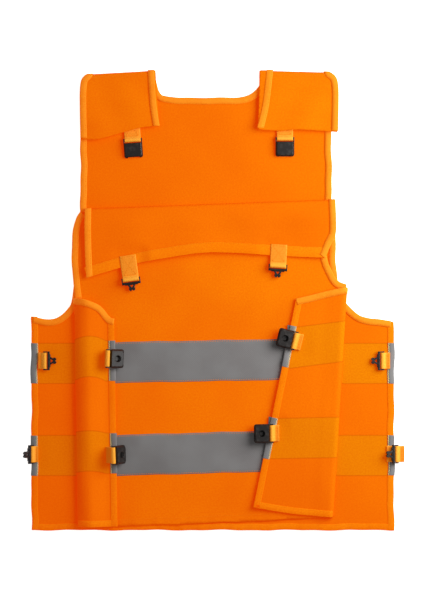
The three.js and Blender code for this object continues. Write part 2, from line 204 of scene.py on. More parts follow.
def rising(value, start, length):
    """0 up to `start`, then evenly up to 1 over `length`."""
    return np.clip((value - start) / length, 0, 1)


def eased(share):
    return share * share * (3 - 2 * share)


def settle(x, y):
    """The slow unevenness that all the layers share."""
    return waves(x, y, (0.35, 310, 20, 1.0), (0.25, 190, 110, 0.3), (0.15, 120, 65, 2.0))


def calm(x, y, nodes, reach=20 * MM):
    """0 where one of the CAD nodes lies over the cloth, rising to 1 at `reach` beyond all of them."""
    share = np.ones_like(x)
    for node in nodes:
        low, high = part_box(node)
        beyond = np.hypot(np.maximum(np.maximum(low.x - x, x - high.x), 0),
                          np.maximum(np.maximum(low.y - y, y - high.y), 0))
        share = share * eased(rising(beyond, 0, reach))
    return share


class Flat:
    """Cloth that lies flat. Its flat points are plan points, moved sideways by about `sway` mm."""

    def __init__(self, level, relief, sway=0.0):
        self.level = level
        self.relief = relief
        self.sway = sway

    def at(self, p):
        x, y = p.T
        aside = self.sway * waves(x, y, (0.6, 88, 90, 0.4), (0.4, 41, 90, 1.9))
        ahead = self.sway * waves(x, y, (0.6, 105, 0, 1.1), (0.4, 47, 0, 0.2))
        return np.column_stack([x + aside, y + ahead, self.level + self.relief(x, y)])

    def normal(self, p, step=0.4 * MM):
        across = self.at(p + (step, 0)) - self.at(p - (step, 0))
        along = self.at(p + (0, step)) - self.at(p - (0, step))
        n = np.cross(across, along)
        return n / np.linalg.norm(n, axis=1)[:, None]

    def flat_of(self, plan):
        return plan


class Folded(Flat):
    """Cloth turned over a fold. A flat point is (distance along the fold, distance over the cloth from
    the fold). `profile` holds (distance inwards, height) pairs, from the end of the lip to the top."""

    bare = 4 * MM           # the relief starts this far over the cloth from the fold
    easing = 24 * MM        # and is full this far beyond that

    def __init__(self, joint, profile, relief):
        j = joints[joint]
        self.along = np.array(j["axis"][:2])
        self.inwards = np.array([-self.along[1], self.along[0]])
        self.origin = np.array(j["pos_m"][:2]) + HINGE_OUT * self.inwards
        self.relief = relief
        self.curve = smooth(np.array(profile), 16)
        self.turn = int(np.argmin(self.curve[:, 0]))
        lengths = run_lengths(self.curve)
        self.over = lengths - lengths[self.turn]
        self.lip_end = self.over[0]

    def at(self, p):
        u, w = p.T
        beyond = np.maximum(w - self.over[-1], 0)
        d = np.interp(w, self.over, self.curve[:, 0]) + beyond
        z = np.interp(w, self.over, self.curve[:, 1])
        plan = self.origin + u[:, None] * self.along + d[:, None] * self.inwards
        z = z + self.relief(plan[:, 0], plan[:, 1], d) * eased(rising(w, self.bare, self.easing))
        return np.column_stack([plan, z])

    def flat_of(self, plan):
        offset = plan - self.origin
        d = offset @ self.inwards
        top = slice(self.turn, None)
        w = np.interp(d, self.curve[top, 0], self.over[top]) + np.maximum(d - self.curve[-1, 0], 0)
        return np.column_stack([offset @ self.along, w])


def smooth(points, steps):
    """A rounded open path through the points."""
    padded = np.vstack([2 * points[0] - points[1], points, 2 * points[-1] - points[-2]])
    out = []
    for a, b, c, d in zip(padded, padded[1:], padded[2:], padded[3:]):
        for t in np.arange(steps) / steps:
            out.append(b + 0.5 * t * (c - a + t * (2 * a - 5 * b + 4 * c - d + t * (3 * (b - c) + d - a))))
    return np.array([*out, points[-1]])


# ---- meshes ----
def mesh_object(name, vertices, faces, material, uv=None, band=None, flat_shaded=False):
    mesh = bpy.data.meshes.new(name)
    mesh.from_pydata([tuple(v) for v in vertices], [], faces)
    if uv is not None:
        layer = mesh.uv_layers.new(name="cloth")
        index = np.zeros(len(mesh.loops), int)
        mesh.loops.foreach_get("vertex_index", index)
        layer.data.foreach_set("uv", np.asarray(uv, np.float32)[index].ravel())
    if band is not None:
        held = mesh.attributes.new("band", "FLOAT", "POINT")
        held.data.foreach_set("value", np.asarray(band, np.float32))
    build = bmesh.new()
    build.from_mesh(mesh)
    bmesh.ops.recalc_face_normals(build, faces=build.faces)
    build.to_mesh(mesh)
    build.free()
    if not flat_shaded:
        mesh.polygons.foreach_set("use_smooth", [True] * len(mesh.polygons))
    mesh.materials.append(material)
    piece = bpy.data.objects.new(name, mesh)
    bpy.context.scene.collection.objects.link(piece)
    return piece


def inside(points, loop):
    """Which points lie inside a closed loop."""
    x, y = points[:, None].transpose(2, 0, 1)
    x0, y0 = loop.T
    x1, y1 = np.roll(loop, -1, 0).T
    crosses = ((y0 > y) != (y1 > y)) & (x < (x1 - x0) * (y - y0) / (y1 - y0 + 1e-12) + x0)
    return crosses.sum(1) % 2 == 1


def filled(loop, step):
    """Points and triangles of a flat shape, with its edge first."""
    low, high = loop.min(0), loop.max(0)
    rows = np.arange(low[1] + step / 2, high[1], step * 0.87)
    grid = np.array([
        (x, y) for i, y in enumerate(rows)
        for x in np.arange(low[0] + step * (0.25 + 0.5 * (i % 2)), high[0], step)
    ])
    grid = grid[inside(grid, loop)]
    gaps = np.concatenate([gaps_to(grid[i:i + CHUNK], loop) for i in range(0, len(grid), CHUNK)])
    points = np.vstack([loop, grid[gaps > step * 0.45]])
    made = delaunay_2d_cdt([Vector(p) for p in points], [], [list(range(len(loop)))], 1, 1e-7)
    return np.array([tuple(v) for v in made[0]]), [tuple(f) for f in made[2]]


def cloth_piece(name, sheet, loop, step, material, bands=None):
    """The cloth itself: two faces and a rim, `CLOTH` thick."""
    points, triangles = filled(loop, step)
    places, normals = sheet.at(points), sheet.normal(points)
    count, rim = len(points), len(loop)
    vertices = np.vstack([places + normals * CLOTH / 2, places - normals * CLOTH / 2])
    faces = list(triangles)
    faces += [tuple(i + count for i in reversed(t)) for t in triangles]
    faces += [(i, i + count, (i + 1) % rim + count, (i + 1) % rim) for i in range(rim)]
    band = None if bands is None else np.tile(bands(places), 2)
    return mesh_object(name, vertices, faces, material, np.vstack([points, points]), band)


def sideways(path):
    """Unit directions to the left of an open path, which is inwards on a cloth's edge."""
    ahead = np.gradient(path, axis=0)
    ahead /= np.linalg.norm(ahead, axis=1)[:, None]
    return np.column_stack([-ahead[:, 1], ahead[:, 0]])


def tube(grid):
    """Vertices and faces of rings that follow one another, closed at both ends."""
    rings, around = grid.shape[:2]
    faces = []
    for first in range(0, (rings - 1) * around, around):
        for k in range(around):
            n = (k + 1) % around
            faces.append((first + k, first + n, first + around + n, first + around + k))
    faces += [tuple(reversed(range(around))), tuple(range((rings - 1) * around, rings * around))]
    return grid.reshape(-1, 3), faces


def laid_strip(name, sheet, path, section, material):
    """A strip that follows a flat path on a sheet. `section` is a ring of (inwards, up) pairs."""
    inwards = sideways(path)
    rings = []
    for s, h in section:
        q = path + inwards * s
        rings.append(sheet.at(q) + sheet.normal(q) * h)
    vertices, faces = tube(np.stack(rings, 1))
    uv = [(along, across) for along in run_lengths(path) for across, up in section]
    return mesh_object(name, vertices, faces, material, uv)


def flat_section(start, end, low, high, count=3):
    """A thin strip from `start` to `end` across, with its edges rounded down."""
    soft = min(0.5 * MM, (end - start) / 4)
    across = np.linspace(start + soft, end - soft, count)
    top = [(s, high) for s in across]
    middle = (low + high) / 2
    return [*top, (end, middle), *[(s, low) for s, h in reversed(top)], (start, middle)]


def folded_section(width, out, thick=0.55 * MM):
    """A strip folded round a cloth's edge, `out` thick on each side of the cloth's middle."""
    inner = out - thick
    outer = [(width, out), (width / 2, out * 1.05), (0.6 * MM, out * 1.08), (-0.5 * MM, out * 0.72)]
    mirrored = [(s, -h) for s, h in reversed(outer)]
    edge = (-0.9 * MM, 0)
    hollow = [(width, -inner), (0.4 * MM, -inner), (0.4 * MM, inner), (width, inner)]
    return [*outer, edge, *mirrored, *hollow]


def plain_row(path, inset):
    """The ends of the stitches of a straight seam, `inset` from a cloth's edge."""
    return evenly(path + sideways(path) * inset, STITCH + STITCH_GAP)


def zigzag_row(path, inset, swing=0.9 * MM):
    """The ends of the stitches of a zigzag seam, whose middle is `inset` from a cloth's edge."""
    line = evenly(path, STITCH * 0.7)
    turns = np.where(np.arange(len(line)) % 2, swing, -swing)
    return line + sideways(line) * (inset + turns)[:, None]


def stitched(name, sheet, rows, material, radius=0.28 * MM, share=STITCH / (STITCH + STITCH_GAP)):
    """Seams. Each row is (the flat line of its stitch ends, height above the cloth's middle)."""
    vertices, faces = [], []
    for line, up in rows:
        middle = (line[1:] + line[:-1]) / 2
        half = (line[1:] - line[:-1]) * share / 2
        normals = sheet.normal(middle)
        centres = sheet.at(middle) + normals * up
        tips = (sheet.at(middle + half) - sheet.at(middle - half)) / 2
        for centre, tip, normal in zip(centres, tips, normals):
            side = np.cross(normal, tip)
            side *= radius / np.linalg.norm(side)
            tip = tip * thread_lengths.uniform(0.9, 1.05)
            ring = [side, normal * radius, -side, -normal * radius]
            first = len(vertices)
            vertices += [centre - tip, *[centre - tip * 0.6 + r for r in ring]]
            vertices += [*[centre + tip * 0.6 + r for r in ring], centre + tip]
            for k in range(4):
                n = (k + 1) % 4
                faces.append((first, first + 1 + n, first + 1 + k))
                faces.append((first + 1 + k, first + 1 + n, first + 5 + n, first + 5 + k))
                faces.append((first + 9, first + 5 + k, first + 5 + n))
    uv = [(v[0], v[1]) for v in vertices]
    return mesh_object(name, vertices, faces, material, uv)


# ---- materials ----
def srgb(r, g, b):
    """A linear colour from one on the usual 0 to 255 scale."""
    return tuple(((c / 255 + 0.055) / 1.055) ** 2.4 if c > 10 else c / 255 / 12.92 for c in (r, g, b)) + (1,)


class Shader:
    """One material. `add` makes a node; an input is a number, a colour or another node's output."""

    def __init__(self, name, **fixed):
        self.material = bpy.data.materials.new(name)
        self.material.use_nodes = True
        self.tree = self.material.node_tree
        self.surface = self.tree.nodes["Principled BSDF"]
        for key, value in fixed.items():
            self.surface.inputs[key.replace("_", " ")].default_value = value

    def add(self, kind, inputs=(), output=0, **settings):
        node = self.tree.nodes.new("ShaderNode" + kind)
        for key, value in settings.items():
            setattr(node, key, value)
        for key, value in dict(inputs).items():
            self.join(value, node.inputs[key])
        return node.outputs[output]

    def join(self, value, socket):
        if isinstance(value, bpy.types.NodeSocket):
            self.tree.links.new(value, socket)
        else:
            socket.default_value = value

    def math(self, operation, a, b=0.0):
        return self.add("Math", {0: a, 1: b}, operation=operation)

    def mix(self, share, a, b):
        return self.add("Mix", {0: share, 6: a, 7: b}, output=2, data_type="RGBA")

    def ramp(self, value, low, high, to_low=0.0, to_high=1.0):
        inputs = {0: value, 1: low, 2: high, 3: to_low, 4: to_high}
        return self.add("MapRange", inputs, interpolation_type="SMOOTHSTEP")

    def noise(self, place, scale, detail=2.0):
        return self.add("TexNoise", {"Vector": place, "Scale": scale, "Detail": detail})

    def wave(self, place, period, direction):
        scale = 2 * math.pi / 20 / period
        return self.add("TexWave", {"Vector": place, "Scale": scale}, output=1, bands_direction=direction)

    def cloth_place(self):
        return self.add("UVMap", uv_map="cloth")

    def finish(self, colour, height=None, strength=0.3, distance=0.3 * MM, roughness=None):
        self.join(colour, self.surface.inputs["Base Color"])
        if roughness is not None:
            self.join(roughness, self.surface.inputs["Roughness"])
        if height is not None:
            inputs = {"Height": height, "Strength": strength, "Distance": distance}
            self.join(self.add("Bump", inputs), self.surface.inputs["Normal"])
        return self.material


# Colours of the cloth's steady painted glow: it stands in for fluorescence and lightens the cloth's shade,
# and it is weaker where grey tape lies behind.
PAINTED_FLUORESCENT_GLOW = (1.0, 0.035, 0.0, 1)
PAINTED_GLOW_OVER_GREY = (0.84, 0.05, 0.0, 1)


def knit_material(name, light, deep, banded=False):
    """Knitted fluorescent cloth with a steady painted glow, which stands in for its fluorescence and also
    lightens its shade in folds and creases. Where the `band` attribute is under 1, tape is sewn behind it.
    """
    # The emission is a painted glow that lightens the cloth's shade.
    s = Shader(name, Roughness=0.85, Sheen_Weight=0.1, Sheen_Roughness=0.5, Sheen_Tint=srgb(255, 120, 0),
               Specular_IOR_Level=0.03, Emission_Color=PAINTED_FLUORESCENT_GLOW, Emission_Strength=0.56)
    place = s.cloth_place()
    slow = s.ramp(s.noise(place, 7.0, 3.0), 0.35, 0.65)
    grain = s.ramp(s.noise(place, 420.0, 1.0), 0.3, 0.7)
    colour = s.mix(slow, light, deep)
    colour = s.mix(s.math("MULTIPLY", grain, 0.35), colour, srgb(136, 78, 0))
    if banded:
        colour = tape_behind(s, colour, grain)
    loops = s.math("MULTIPLY", s.wave(place, 1.3 * MM, "X"), s.wave(place, 1.0 * MM, "Y"))
    height = s.math("ADD", loops, s.math("MULTIPLY", grain, 0.8))
    return s.finish(colour, height, 0.4, 0.3 * MM)


def tape_behind(s, colour, grain):
    """Grey tape shows through the thin cloth as an ochre band, with its two seams at the rims. Over the tape
    the painted glow is weaker.
    """
    band = s.add("Attribute", output=2, attribute_name="band")
    behind = s.ramp(band, 1.03, 0.97)
    # Painted glow, weaker where the tape lies behind the cloth.
    s.join(s.mix(behind, PAINTED_FLUORESCENT_GLOW, PAINTED_GLOW_OVER_GREY), s.surface.inputs["Emission Color"])
    ochre = s.mix(grain, srgb(154, 109, 0), srgb(146, 100, 0))
    colour = s.mix(behind, colour, ochre)
    seam = s.math("MULTIPLY", s.ramp(band, 0.94, 0.98), s.ramp(band, 1.04, 1.0))
    return s.mix(s.math("MULTIPLY", seam, 0.4), colour, srgb(96, 52, 0))


def ribbed_material(name, light, deep, rib):
    """Woven strip with fine ribs across it: bindings, with a steady painted glow that lightens their shade.
    """
    # The emission is a painted glow.
    s = Shader(name, Roughness=0.75, Sheen_Weight=0.08, Sheen_Tint=srgb(255, 150, 20),
               Specular_IOR_Level=0.05, Emission_Color=(1.0, 0.08, 0.0, 1), Emission_Strength=0.5)
    place = s.cloth_place()
    grain = s.ramp(s.noise(place, 300.0, 2.0), 0.3, 0.7)
    slow = s.ramp(s.noise(place, 30.0, 2.0), 0.3, 0.7)
    colour = s.mix(grain, light, s.mix(slow, light, deep))
    ribs = s.wave(place, rib, "X")
    return s.finish(colour, s.math("ADD", ribs, s.math("MULTIPLY", grain, 0.6)), 0.4, 0.3 * MM)


def webbing_material():
    """Woven webbing with a painted yellow highlight along its edges and, by the `band` attribute, where it
    turns round a bar, and a steady painted glow.
    """
    # The emission is a painted glow that lightens the webbing's shade.
    s = Shader("webbing", Roughness=0.7, Sheen_Weight=0.1, Sheen_Tint=srgb(255, 160, 40),
               Specular_IOR_Level=0.12, Emission_Color=(1.0, 0.2, 0.0, 1), Emission_Strength=0.2)
    place = s.cloth_place()
    across = s.add("SeparateXYZ", {0: place}, output=1)
    rim = s.ramp(s.math("ABSOLUTE", across), 11.0 * MM, 12.0 * MM)
    turn_highlight = s.add("Attribute", output=2, attribute_name="band")
    weft = s.wave(place, 1.5 * MM, "X")
    warp = s.wave(place, 1.1 * MM, "Y")
    grain = s.ramp(s.noise(place, 500.0, 2.0), 0.3, 0.7)
    colour = s.mix(grain, srgb(214, 130, 32), srgb(202, 117, 20))
    # Painted highlight: yellow along the edges and where the strap turns round the bar.
    yellow = s.math("MAXIMUM", s.math("MULTIPLY", rim, 0.5), s.math("MULTIPLY", turn_highlight, 0.5))
    colour = s.mix(yellow, colour, srgb(222, 172, 62))
    height = s.math("ADD", s.math("MULTIPLY", weft, warp), s.math("MULTIPLY", grain, 0.3))
    return s.finish(colour, height, 0.6, 0.35 * MM)


def tape_material():
    """Retro-reflective tape: tiny glass beads on grey, with a faint diamond grid from its backing."""
    s = Shader("reflective_tape", Metallic=0.05, Specular_IOR_Level=0.25)
    place = s.cloth_place()
    turned = s.add("Mapping", {"Vector": place, "Rotation": (0, 0, math.radians(45))})
    grid = s.math("MAXIMUM", s.wave(turned, 2.2 * MM, "X"), s.wave(turned, 2.2 * MM, "Y"))
    beads = s.noise(place, 1500.0, 1.0)
    slow = s.ramp(s.noise(place, 14.0, 3.0), 0.3, 0.7)
    colour = s.mix(slow, srgb(116, 114, 113), srgb(106, 102, 101))
    colour = s.mix(s.math("MULTIPLY", s.ramp(grid, 0.8, 1.0), 0.16), colour, srgb(150, 150, 150))
    colour = s.mix(s.math("MULTIPLY", s.ramp(beads, 0.4, 0.7), 0.15), colour, srgb(90, 88, 88))
    rough = s.ramp(beads, 0.3, 0.7, 0.5, 0.68)
    return s.finish(colour, s.math("ADD", grid, beads), 0.2, 0.12 * MM, rough)


def plastic_material():
    """Moulded black plastic, satin, with a fine spark-eroded grain and lighter rubbed patches."""
    s = Shader("buckle_plastic", Specular_IOR_Level=0.35)
    place = s.add("TexCoord", output=3)
    grain = s.noise(place, 2600.0, 2.0)
    worn = s.ramp(s.noise(place, 160.0, 3.0), 0.45, 0.75)
    colour = s.mix(worn, srgb(20, 15, 13), srgb(36, 31, 28))
    rough = s.ramp(worn, 0.0, 1.0, 0.4, 0.55)
    return s.finish(colour, grain, 0.25, 0.12 * MM, rough)


# Thread with a steady painted glow of strength `glow`, which lightens its shade.
def thread_material(name, light, deep, glow):
    s = Shader(name, Roughness=0.8, Specular_IOR_Level=0.05,
               Emission_Color=(1.0, 0.12, 0.0, 1), Emission_Strength=glow)
    twist = s.noise(s.cloth_place(), 900.0, 1.0)
    return s.finish(s.mix(twist, light, deep), twist, 0.4, 0.1 * MM)


def floor_material():
    s = Shader("pale_floor", Roughness=0.9, Emission_Color=(1, 1, 1, 1), Emission_Strength=0.8)
    speckle = s.noise(s.add("TexCoord", output=3), 60.0, 2.0)
    return s.finish(s.mix(speckle, (0.93, 0.93, 0.93, 1), (0.9, 0.9, 0.9, 1)))


inner_knit = knit_material("knit_inside", srgb(154, 101, 0), srgb(149, 95, 0))
banded_knit = knit_material("knit_over_tape", srgb(154, 101, 0), srgb(149, 95, 0), banded=True)
outer_knit = knit_material("knit_outside", srgb(154, 108, 0), srgb(149, 100, 0))
hem_knit = knit_material("knit_hem", srgb(160, 118, 4), srgb(154, 108, 0))
bind_weave = ribbed_material("binding_weave", srgb(172, 124, 24), srgb(164, 111, 14), 1.5 * MM)
webbing_weave = webbing_material()
tape_beads = tape_material()
black_plastic = plastic_material()
orange_thread = thread_material("orange_thread", srgb(176, 124, 20), srgb(160, 104, 8), 0.45)
yellow_thread = thread_material("yellow_thread", srgb(246, 228, 158), srgb(232, 206, 120), 0.05)


# ---- one cloth with everything sewn to it ----
class Cloth:
    """Builds a cloth's pieces and attaches them all to its body; where it is folded between two bodies, they
    are left attached to none.
    """

    def __init__(self, node, sheet, moves, material, step, bands=None, bindings=()):
        self.node = node
        self.sheet = sheet
        self.moves = moves
        self.sewn = []
        self.seams = []
        self.yellow_seams = []
        edges = edges_of(outline(node))
        self.plan_edges = [evenly(e, 2 * MM) for e in edges]
        self.edges = [sheet.flat_of(e) for e in self.plan_edges]
        self.loop = self.flat_loop([evenly(e, step) for e in edges])
        self.bound = {binding: self.bound_path(binding) for binding in bindings}
        self.piece = cloth_piece(node + "_knit", sheet, self.loop, step, material, bands)
        self.finish_piece(self.piece, "fabric", node)

    def flat_loop(self, runs):
        """The cut edge of the whole cloth; at a fold it goes on round the fold and a little way under."""
        if not isinstance(self.sheet, Folded):
            return np.vstack([run[:-1] for run in runs])
        reach = [((run - self.sheet.origin) @ self.sheet.inwards).max() for run in runs]
        fold = int(np.argmin(reach))
        runs = runs[fold + 1:] + runs[:fold]
        flat = self.sheet.flat_of(np.vstack([*[run[:-1] for run in runs], runs[-1][-1:]]))
        lip = self.sheet.lip_end
        (first_u, first_w), (last_u, last_w) = flat[0], flat[-1]
        across_points, side_points = int(np.ptp(flat[:, 0]) / (4 * MM)), 14
        down = [(last_u, w) for w in np.linspace(last_w, lip, side_points)[1:]]
        across = [(u, lip) for u in np.linspace(last_u, first_u, across_points)[1:]]
        up = [(first_u, w) for w in np.linspace(lip, first_w, side_points)[1:-1]]
        return np.vstack([flat, down, across, up])

    def bound_path(self, binding):
        """The stretch of the cloth's edge that a CAD binding lies along."""
        runs = []
        for plan, flat in zip(self.plan_edges, self.edges):
            start, end = longest_run(beside(plan, binding))
            runs.append(flat[start:end])
        path = max(runs, key=len)
        return self.round_the_fold(path) if isinstance(self.sheet, Folded) else path

    def round_the_fold(self, path):
        """Adds the way round the fold, down to the lip, at the end of the path that is at the fold."""
        lip = self.sheet.lip_end
        at_start = path[0, 1] < path[-1, 1]
        end = path[0] if at_start else path[-1]
        extra = np.linspace(end[1], lip, max(int((end[1] - lip) / (1 * MM)), 2))[1:]
        turn = np.column_stack([np.full(len(extra), end[0]), extra])
        return np.vstack([turn[::-1], path]) if at_start else np.vstack([path, turn])

    def free_edges(self):
        """The edges that have no binding and are no fold, the longest first."""
        found = []
        for plan, flat in zip(self.plan_edges, self.edges):
            if any(beside(plan, b).mean() > 0.5 for b in self.bound):
                continue
            folded = isinstance(self.sheet, Folded)
            if folded and ((plan - self.sheet.origin) @ self.sheet.inwards).max() < FOLD_STRIP:
                continue
            found.append(flat)
        return sorted(found, key=len, reverse=True)

    def finish_piece(self, piece, slot, *nodes):
        if len(self.moves) == 1:
            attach(piece, self.moves[0])
        else:
            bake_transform(piece)
        if nodes:
            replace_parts(piece, *nodes)
        return piece

    def sew(self, name, path, section, material, slot, *nodes):
        piece = laid_strip(name, self.sheet, path, section, material)
        self.sewn.append(self.finish_piece(piece, slot, *nodes))

    def bind(self):
        for node, path in self.bound.items():
            section = folded_section(BINDING, BINDING_UP)
            self.sew(node + "_weave", path, section, bind_weave, "binding", node)
            self.seams.append((plain_row(path, BINDING - 1.5 * MM), BINDING_UP + SEAM_UP))

    def hem(self, name, path, width=HEM, nodes=()):
        section = flat_section(0.1 * MM, width, CLOTH / 2 + 0.05 * MM, HEM_UP)
        self.sew(name, path, section, hem_knit, "fabric", *nodes)
        self.seams.append((plain_row(path, width - 1.6 * MM), HEM_UP + SEAM_UP))

    def sew_tape(self, name, path, section, *nodes):
        self.sew(name, path, section, tape_beads, "reflective_tape", *nodes)

    def turn_tape(self, name, edge, low, high, *nodes):
        """The end of a tape, turned over the cloth's edge from y `low` to `high`, and its zigzag seam."""
        turned = between(self.sheet, edge, low, high)
        section = folded_section(TAPE_TURN, HEM_UP + 0.35 * MM, TAPE)
        self.sew_tape(name, turned, section, *nodes)
        self.yellow_seams.append((zigzag_row(turned, TAPE_TURN - 1.2 * MM), HEM_UP + 0.5 * MM))
        return turned

    def done(self):
        if self.seams:
            made = stitched(self.node + "_seams", self.sheet, self.seams, orange_thread)
            self.sewn.append(self.finish_piece(made, "binding"))
        if self.yellow_seams:
            name = self.node + "_yellow_seams"
            made = stitched(name, self.sheet, self.yellow_seams, yellow_thread, 0.36 * MM, 1.0)
            self.sewn.append(self.finish_piece(made, "webbing"))


def between(sheet, path, low, high):
    """The part of a flat path whose places have y from `low` to `high`."""
    fine = evenly(path, 0.8 * MM)
    y = sheet.at(fine)[:, 1]
    start, end = longest_run((y >= low) & (y <= high))
    return fine[start:end]


def band_rule(rows):
    """For the cloth's material: how far each place is from the nearest tape behind it, in half tapes.
    Each row is (middle height, half width, slope, x where the slope starts, arch rule)."""
    def rule(places):
        x, y = places[:, 0], places[:, 1]
        return np.min([
            abs(y - middle - slope * (x - start) - arch(x)) / half
            for middle, half, slope, start, arch in rows
        ], 0)
    return rule


def level(x, *others):
    """No relief, and no arch."""
    return 0 * x


def tape_span(node):
    """The middle height and the half width of a tape in the plan."""
    low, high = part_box(node)
    return (low.y + high.y) / 2, (high.y - low.y) / 2


back_z = middle_z("back_panel")
front_z = middle_z("front_panel")
flap_z = middle_z("top_flap")
shoulder_z = middle_z("left_shoulder_flap")

# Two heights for each fold, kept in the fold's list of bodies; nothing here reads them.
front_blend = (front_z + 0.1 * MM, flap_z - 0.5 * MM)
shoulder_blend = (back_z + 0.6 * MM, shoulder_z - 0.6 * MM)


# ---- the back panel ----
SIDE_TABS = [f"side_{band}_{side}_tab" for band in BANDS for side in SIDES]


def back_relief(x, y):
    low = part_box("back_panel")[0]
    hems = bump(y, low.y, 10 * MM) * waves(x, y, (0.22, 26, 0, 0.4), (0.15, 15, 4, 1.0))
    slow = settle(x, y) * 0.6 + waves(x, y, (0.18, 75, 35, 0.0))
    return calm(x, y, SIDE_TABS) * (0.8 * MM + slow + hems)


def build_back():
    rows = [(*tape_span(f"back_tape_{band}"), 0, 0, level) for band in BANDS]
    sheet = Flat(back_z, back_relief, 0.9)
    names = ["back_neck_binding", "back_armhole_binding_left", "back_armhole_binding_right"]
    cloth = Cloth("back_panel", sheet, ["back_panel"], banded_knit, 4.5 * MM, band_rule(rows), names)
    cloth.bind()
    edges = cloth.free_edges()
    bottom = min(edges, key=lambda e: e[:, 1].mean())
    sides = {
        "left": min(edges, key=lambda e: e[:, 0].mean()),
        "right": max(edges, key=lambda e: e[:, 0].mean()),
    }
    cloth.hem("back_panel_bottom_hem", bottom)
    for side, path in sides.items():
        cloth.hem(f"back_panel_{side}_hem", path)
    for band in BANDS:
        node = f"back_tape_{band}"
        low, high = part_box(node)
        path = evenly(np.array([[low.x + 2 * MM, low.y], [high.x - 2 * MM, low.y]]), 8 * MM)
        under = -CLOTH / 2 - 0.45 * MM
        section = flat_section(0, high.y - low.y, under, under + 0.35 * MM, 9)
        cloth.sew_tape(node + "_strip", path, section, node)
        for side, edge in sides.items():
            cloth.turn_tape(f"{node}_{side}_end", edge, low.y, high.y)
    cloth.done()


# ---- the shoulder straps ----
def fold_profile(base, top, lip_drop, rows):
    """From the lip, `lip_drop` under the cloth it comes from, round the fold and over to the top level.
    Each row is (distance inwards in mm, height in mm above the cloth that it comes from)."""
    lip = [(LIP, base - lip_drop), (4 * MM, base - lip_drop)]
    turn = [(0.2 * MM, base - lip_drop * 0.6), (-0.9 * MM, base + 1.2 * MM)]
    over = [(d * MM, base + h * MM) for d, h in rows]
    end = over[-1][0] + 16 * MM
    return [*lip, *turn, *over, (end, top), (end + 14 * MM, top)]


def build_shoulder(side):
    node = f"{side}_shoulder_flap"
    mirror = 1 if side == "left" else -1
    low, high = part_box(node)
    neck_x = high.x if side == "left" else low.x
    rows = [(-0.3, 3.6), (3.5, 5.8), (11, 6.4), (22, 6.2)]

    def relief(x, y, d):
        end = rising(d, 60 * MM, 40 * MM)
        corner = bump(x, neck_x, 16 * MM) * end ** 2
        wave = waves(x, y, (0.9, 62, 25 * mirror, 0.6), (0.5, 38, 80, 1.0))
        return 1.6 * MM + 0.8 * wave + 5.5 * MM * corner + 1.0 * MM * end

    profile = fold_profile(back_z, shoulder_z, 0.85 * MM, rows)
    sheet = Folded(f"{side}_shoulder_fold", profile, relief)
    moves = ["back_panel", node, *shoulder_blend]
    names = [f"{side}_shoulder_outer_binding", f"{side}_shoulder_inner_binding"]
    cloth = Cloth(node, sheet, moves, outer_knit, 3 * MM, None, names)
    cloth.bind()
    cloth.seams.append((plain_row(cloth.free_edges()[0], 6 * MM), CLOTH / 2 + SEAM_UP))
    cloth.done()


# ---- the front panel ----
def front_relief(x, y):
    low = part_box("front_panel")[0]
    hems = bump(y, low.y, 12 * MM) * waves(x, y, (0.3, 30, 0, 0.9), (0.2, 17, 5, 0.2))
    slow = waves(x, y, (0.35, 90, 75, 0.5), (0.25, 60, 150, 1.4))
    return settle(x, y) * 0.8 + hems + slow + 0.4 * MM


def build_front():
    sheet = Flat(front_z, front_relief, 0.6)
    names = ["front_armhole_binding_left", "front_armhole_binding_right"]
    cloth = Cloth("front_panel", sheet, ["front_panel"], outer_knit, 4 * MM, None, names)
    cloth.bind()
    bottom = min(cloth.free_edges(), key=lambda e: e[:, 1].mean())
    cloth.seams.append((plain_row(bottom, HEM), CLOTH / 2 + 0.12 * MM))
    for band, tilt in (("upper", 0.019), ("lower", 0.028)):
        node = f"front_tape_{band}"
        low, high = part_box(node)
        x = np.linspace(low.x, high.x, 40)
        y = low.y + tilt * (x - (low.x + high.x) / 2)
        path = np.column_stack([x, y])
        width = high.y - low.y
        up = CLOTH / 2 + 0.08 * MM
        section = flat_section(0, width, up, up + 0.4 * MM, 12)
        cloth.sew_tape(node + "_strip", path, section, node)
        for inset in (1.8 * MM, width - 1.8 * MM):
            cloth.seams.append((plain_row(path, inset), up + 0.5 * MM))
    cloth.done()


# ---- the folded top of the front panel ----
def build_top_flap():
    rows = [(-0.3, 3.6), (3.5, 6.0), (12, 7.0), (26, 7.4), (42, 6.0)]
    low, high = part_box("top_flap")

    def relief(x, y, d):
        end = rising(d, 40 * MM, 45 * MM)
        wave = waves(x, y, (0.9, 150, 70, 0.0), (0.6, 85, 20, 1.2))
        middle = bump(x, (low.x + high.x) / 2 + 0.01, 0.09)
        lifted = 1.0 * MM + wave + end * (2.6 * MM * middle + 0.6 * MM)
        return calm(x, y, ["top_flap_left_tab", "top_flap_right_tab"]) * lifted

    sheet = Folded("top_flap_fold", fold_profile(front_z, flap_z, 1.1 * MM, rows), relief)
    moves = ["front_panel", "top_flap", *front_blend]
    names = ["top_flap_armhole_binding_left", "top_flap_armhole_binding_right"]
    cloth = Cloth("top_flap", sheet, moves, inner_knit, 3.5 * MM, None, names)
    cloth.bind()
    hem = cloth.free_edges()[0]
    cloth.hem("top_flap_neckline_hem_knit", hem, NECK_HEM, ["top_flap_neckline_hem"])
    cloth.done()


